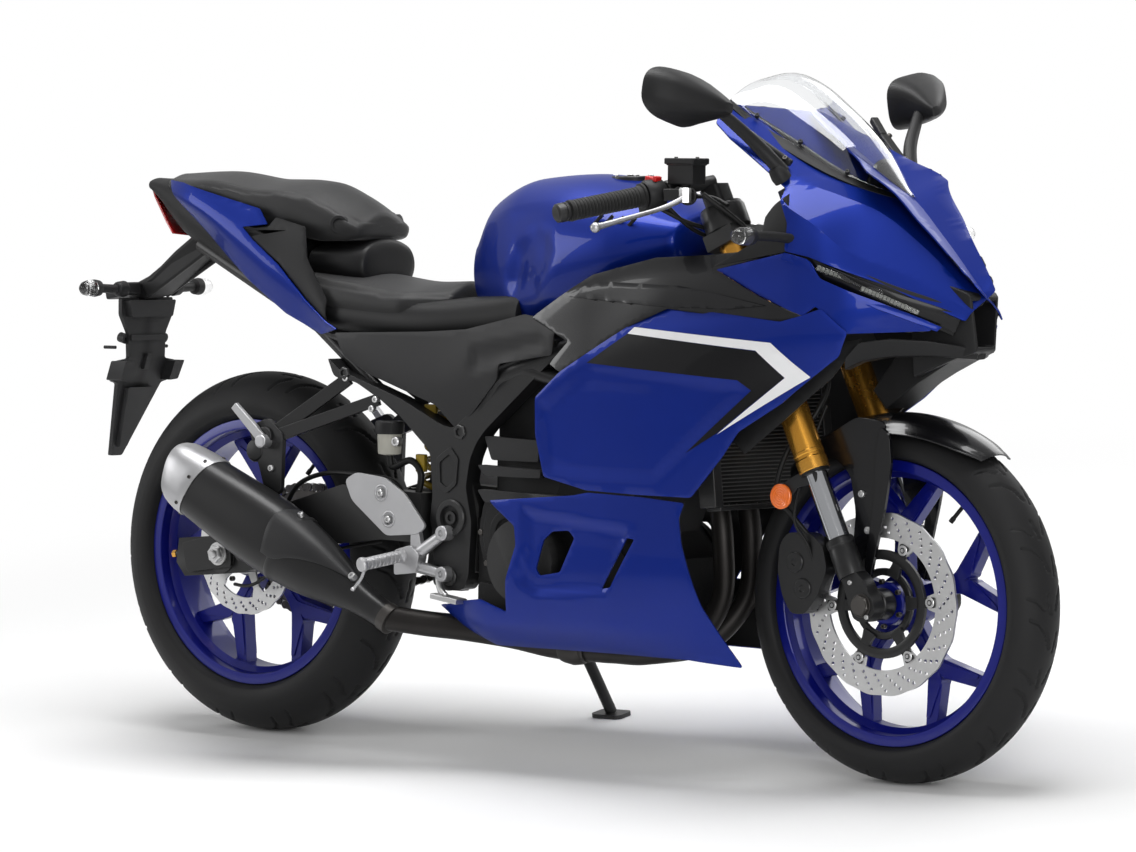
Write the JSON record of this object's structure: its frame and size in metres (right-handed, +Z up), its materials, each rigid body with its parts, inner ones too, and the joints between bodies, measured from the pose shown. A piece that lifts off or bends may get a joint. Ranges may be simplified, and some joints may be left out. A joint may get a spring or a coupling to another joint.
{
  "type": "sport motorcycle",
  "caption": "Middleweight sport motorcycle with a full fairing, low bars, two-level seat, upside-down fork, cast wheels and an underslung exhaust, parked on its side stand.",
  "frame": {"origin": "centre of the leaned machine's box, on the ground", "axes": "+X forward, +Y to the left, +Z up"},
  "size_m": [2.0909, 0.7937, 1.1913],
  "materials": {
    "black_plastic": "satin",
    "black_steel": "satin",
    "blue": "gloss",
    "blue_plastic": "gloss",
    "chrome": "polished",
    "dark_grey": "satin",
    "engine_black": "satin",
    "gloss_black": "gloss",
    "gold": "satin",
    "lamp": "polished",
    "rubber": "matte",
    "screen": "polished",
    "seat": "satin",
    "silver": "satin",
    "steel": "brushed",
    "tyre": "matte"
  },
  "bodies": {
    "chassis": {"belly_fairing": "blue_plastic", "chain": "steel", "cockpit": "black_plastic", "engine": "engine_black", "exhaust_pipes": "steel", "frame": "black_steel", "fuel_tank": "blue", "headlamps": "lamp", "mirrors": "black_plastic", "muffler": "black_steel", "muffler_end_cap": "silver", "nose_duct": "black_plastic", "nose_fairing": "blue_plastic", "passenger_footrests": "black_steel", "pillion_seat": "seat", "plate_hanger": "black_plastic", "radiator": "black_steel", "rear_axle": "steel", "rear_brake": "black_steel", "rear_mudguard": "black_plastic", "rear_shock": "steel", "rider_footrests": "silver", "rider_seat": "seat", "side_covers": "dark_grey", "side_fairings": "blue_plastic", "swingarm": "black_steel", "tail_centre": "black_plastic", "tail_cowls": "blue_plastic", "tank_trims": "gloss_black", "turn_signals": "black_plastic", "windscreen": "screen"},
    "steering": {"fork_yokes": "black_steel", "fork_outers": "gold", "fork_stanchions": "chrome", "fork_bottoms": "black_steel", "front_axle": "steel", "handlebars": "black_steel", "grips": "rubber", "levers": "silver", "front_reservoir": "black_plastic", "front_mudguard": "gloss_black", "front_caliper": "black_steel"},
    "front_wheel": {"front_tyre": "tyre", "front_rim": "blue", "front_disc": "steel", "front_disc_carrier": "black_steel"},
    "rear_wheel": {"rear_tyre": "tyre", "rear_rim": "blue", "rear_disc": "steel", "rear_sprocket": "steel"},
    "side_stand": {"side_stand": "black_steel"}
  },
  "joints": [
    {"name": "steering", "type": "hinge", "parent": "chassis", "child": "steering", "pos_m": [0.51175, -0.06366, 0.70906], "axis": [-0.4226, 0.1574, 0.8925], "range_deg": [-30, 30]},
    {"name": "front_wheel_spin", "type": "hinge", "parent": "steering", "child": "front_wheel", "pos_m": [0.75249, -0.13766, 0.2894], "axis": [0, 0.9848, -0.1736], "continuous": true},
    {"name": "rear_wheel_spin", "type": "hinge", "parent": "chassis", "child": "rear_wheel", "pos_m": [-0.62751, -0.13398, 0.31031], "axis": [0, 0.9848, -0.1736], "continuous": true},
    {"name": "side_stand_fold", "type": "hinge", "parent": "chassis", "child": "side_stand", "pos_m": [-0.10751, -0.00034, 0.25619], "axis": [0.0664, 0.9673, 0.245], "range_deg": [0, 95.3]}
  ]
}
